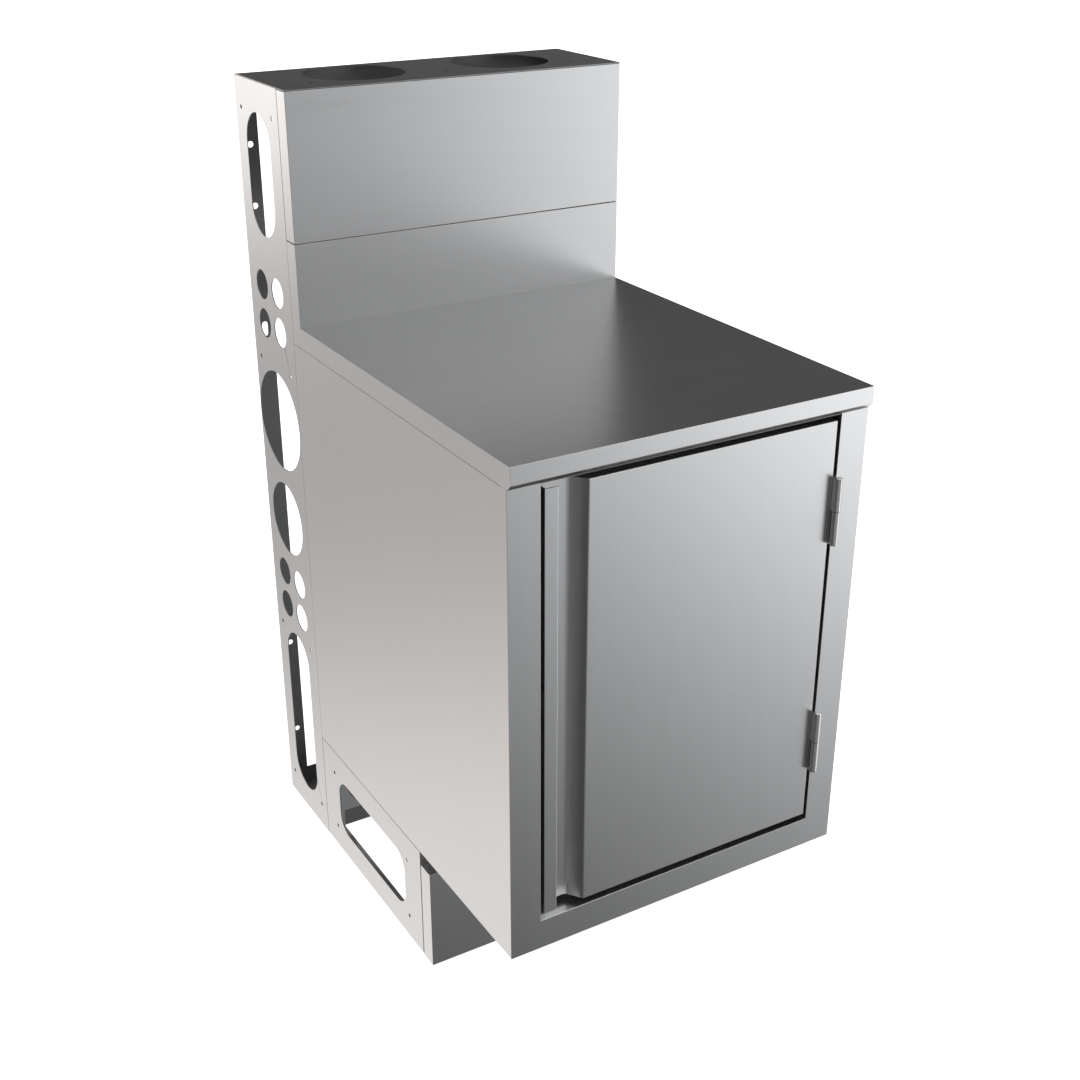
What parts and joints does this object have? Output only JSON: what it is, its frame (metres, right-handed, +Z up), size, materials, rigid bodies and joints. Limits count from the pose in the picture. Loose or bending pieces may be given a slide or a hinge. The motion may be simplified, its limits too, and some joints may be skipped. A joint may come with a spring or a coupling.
{
  "type": "undercounter refrigerator",
  "caption": "Stainless undercounter refrigerator with a flush grip door, worktop with backsplash, recessed base and an open rear utility chase.",
  "frame": {"origin": "on the floor, at the middle of the footprint of the whole part", "axes": "+Z up, the door faces -Y, the chase is at +Y, +X is to the right of someone facing the door"},
  "size_m": [0.4572, 0.6824, 1.0383],
  "materials": {
    "stainless": "satin",
    "galvanised": "satin",
    "insulation": "matte",
    "white_plastic": "matte",
    "black_plastic": "matte",
    "gasket_rubber": "matte",
    "hinge_steel": "satin",
    "pin_steel": "polished",
    "brass_fittings": "satin",
    "shelf_wire": "polished",
    "fin_aluminium": "satin",
    "copper": "satin",
    "motor_paint": "satin",
    "fan_plastic": "satin",
    "screw_steel": "satin"
  },
  "bodies": {
    "cabinet": {"chase_side_left": "stainless", "chase_side_right": "stainless", "chase_top_plate": "stainless", "chase_base_tray": "stainless", "worktop": "stainless", "cabinet_wrapper": "stainless", "face_frame": "stainless", "base_side_left": "stainless", "base_side_right": "stainless", "base_back": "stainless", "inner_liner": "stainless", "drip_pan": "stainless", "cabinet_roof": "galvanised", "cabinet_back": "galvanised", "worktop_stiffener_left": "galvanised", "worktop_stiffener_right": "galvanised", "base_front_rail": "galvanised", "fan_bracket": "galvanised", "hinge_pin_upper": "pin_steel", "hinge_pin_lower": "pin_steel", "hinge_washer_upper": "pin_steel", "hinge_washer_lower": "pin_steel", "panel_clips": "screw_steel", "kick_clips": "screw_steel", "unit_screws": "screw_steel", "shelf_clips": "screw_steel", "insulation_foam": "insulation", "breaker_frame": "white_plastic", "thermostat_body": "white_plastic", "drain_tube": "white_plastic", "service_grommets": "gasket_rubber", "hinge_frame_leaf_upper": "hinge_steel", "hinge_frame_leaf_lower": "hinge_steel", "expansion_valve": "brass_fittings", "flare_caps": "brass_fittings", "shelf_lower": "shelf_wire", "shelf_upper": "shelf_wire", "fan_guard": "shelf_wire", "evaporator_coil": "fin_aluminium", "evaporator_housing": "fin_aluminium", "shelf_pilaster_1": "fin_aluminium", "shelf_pilaster_2": "fin_aluminium", "shelf_pilaster_3": "fin_aluminium", "shelf_pilaster_4": "fin_aluminium", "suction_line": "copper", "liquid_line": "copper", "valve_outlet": "copper", "fan_motor": "motor_paint"},
    "door": {"door_skin": "stainless", "door_grip": "stainless", "door_foam": "insulation", "door_liner": "stainless", "door_gasket": "gasket_rubber", "hinge_door_leaf_upper": "hinge_steel", "hinge_door_leaf_lower": "hinge_steel"},
    "fan": {"fan_blade": "fan_plastic", "fan_shaft": "pin_steel"},
    "knob": {"thermostat_knob": "black_plastic"},
    "front_panel": {"upper_front_panel": "stainless"},
    "kick": {"kick_plate": "stainless"}
  },
  "joints": [
    {"name": "door_hinge", "type": "hinge", "parent": "cabinet", "child": "door", "pos_m": [0.189, -0.33668, 0.4654], "axis": [0, 0, 1], "range_deg": [0, 175]},
    {"name": "fan_spin", "type": "hinge", "parent": "cabinet", "child": "fan", "pos_m": [-0.04, 0.01218, 0.62], "axis": [0, -1, 0], "continuous": true},
    {"name": "thermostat_turn", "type": "hinge", "parent": "cabinet", "child": "knob", "pos_m": [0.092, -0.00532, 0.62], "axis": [0, -1, 0], "range_deg": [0, 270]},
    {"name": "front_panel_pull", "type": "slide", "parent": "cabinet", "child": "front_panel", "axis": [0, -1, 0], "range_m": [0, 0.12]},
    {"name": "kick_plate_pull", "type": "slide", "parent": "cabinet", "child": "kick", "axis": [0, -1, 0], "range_m": [0, 0.15]}
  ]
}
